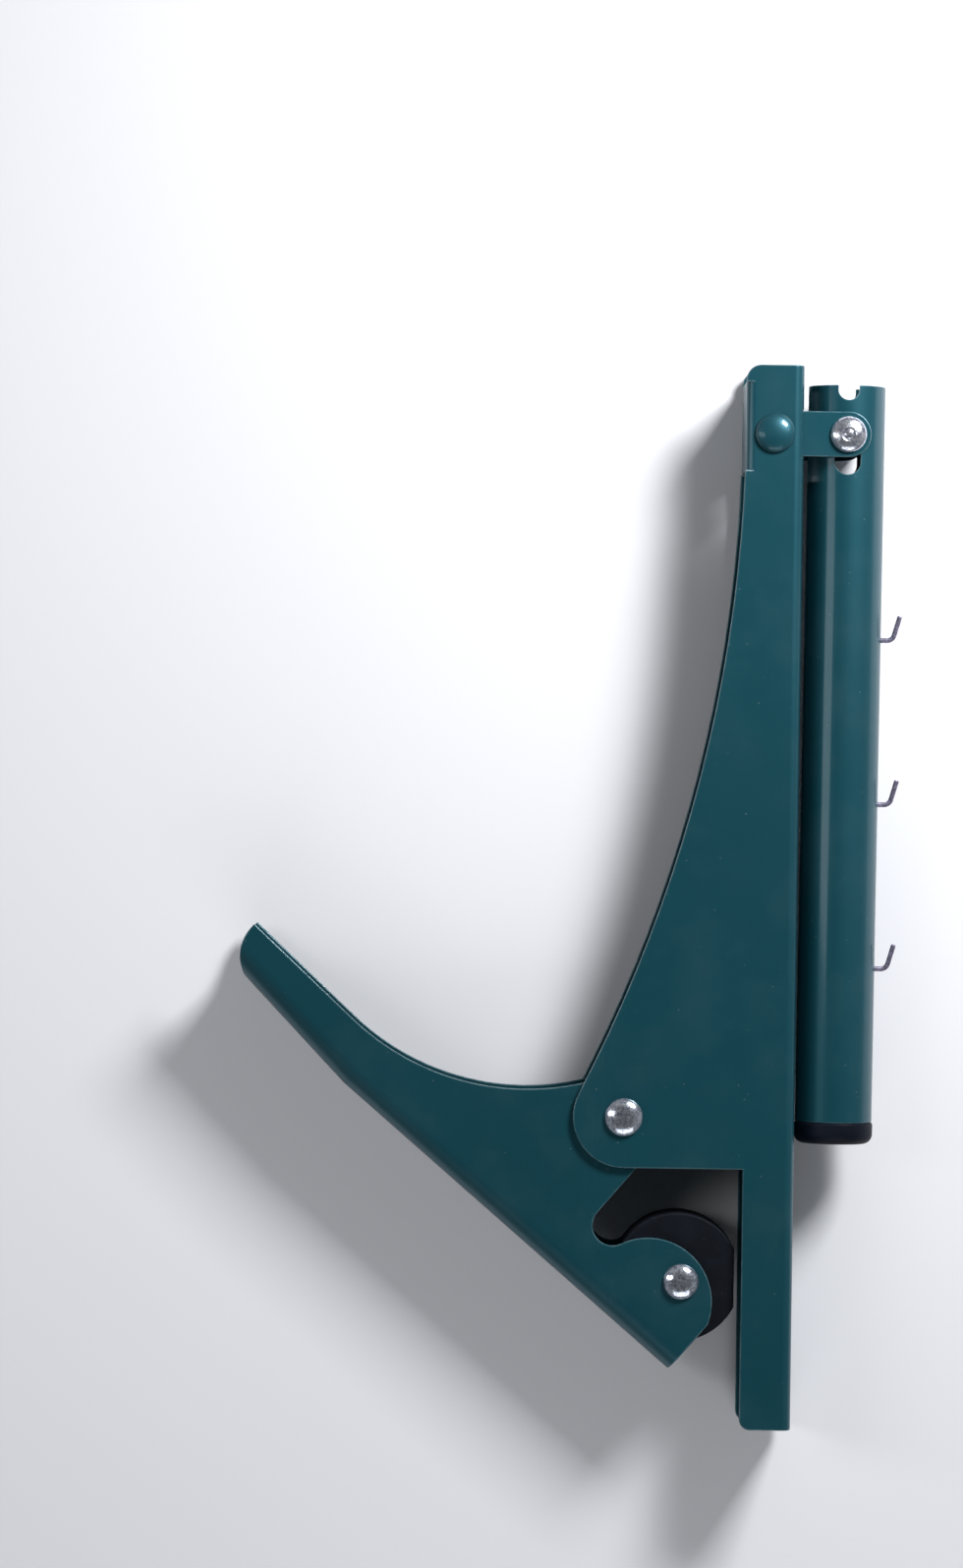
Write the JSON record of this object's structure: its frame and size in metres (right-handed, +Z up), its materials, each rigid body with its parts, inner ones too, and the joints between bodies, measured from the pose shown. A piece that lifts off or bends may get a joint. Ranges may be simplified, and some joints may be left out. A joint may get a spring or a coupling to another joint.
{
  "type": "table tennis net clamp",
  "caption": "Spring clamp that grips a table tennis table's edge, with a swivelling rubber jaw pad and a hooked net post that folds along the body or stands up and locks",
  "frame": {"origin": "centre of the footprint of the clamp lying flat on its side, at the lowest rivet head", "axes": "+Z up out of the clamp's flat side, along every hinge axis; +Y along the body from the jaw arm to the handle end; +X from the lever to the post"},
  "size_m": [0.1336, 0.2152, 0.0254],
  "materials": {
    "paint": "gloss stoved enamel on pressed steel",
    "zinc": "bright zinc plate",
    "spring_wire": "oiled spring wire",
    "rubber": "matt black rubber",
    "cap_plastic": "satin black plastic",
    "hook_wire": "dull steel wire"
  },
  "bodies": {
    "body": {"main_body": "paint", "link_bracket": "paint", "link_rivet": "paint", "pivot_rivet": "zinc", "torsion_spring": "spring_wire"},
    "lever": {"lever": "paint", "jaw_rivet": "zinc"},
    "pad": {"jaw_pad": "rubber"},
    "post_pivot": {"post_rivet": "zinc"},
    "post": {"post_tube": "paint", "post_cap": "cap_plastic", "net_hook_top": "hook_wire", "net_hook_middle": "hook_wire", "net_hook_low": "hook_wire"}
  },
  "joints": [
    {"name": "lever_squeeze", "type": "hinge", "parent": "body", "child": "lever", "pos_m": [0.01128, -0.0447, 0.01265], "axis": [0, 0, -1], "range_deg": [0, 45], "stiffness_Nm_per_rad": 2, "springref_deg": -9.74, "deforming": ["torsion_spring"]},
    {"name": "pad_swivel", "type": "hinge", "parent": "lever", "child": "pad", "pos_m": [0.0233, -0.07785, 0.01265], "axis": [0, 0, 1], "range_deg": [-8, 48]},
    {"name": "post_swing", "type": "hinge", "parent": "body", "child": "post_pivot", "pos_m": [0.05488, 0.0938, 0.01265], "axis": [0, 0, 1], "range_deg": [0, 90.32]},
    {"name": "post_slide", "type": "slide", "parent": "post_pivot", "child": "post", "axis": [0.0056, 1, 0], "range_m": [-0.0017, 0.0054]}
  ]
}
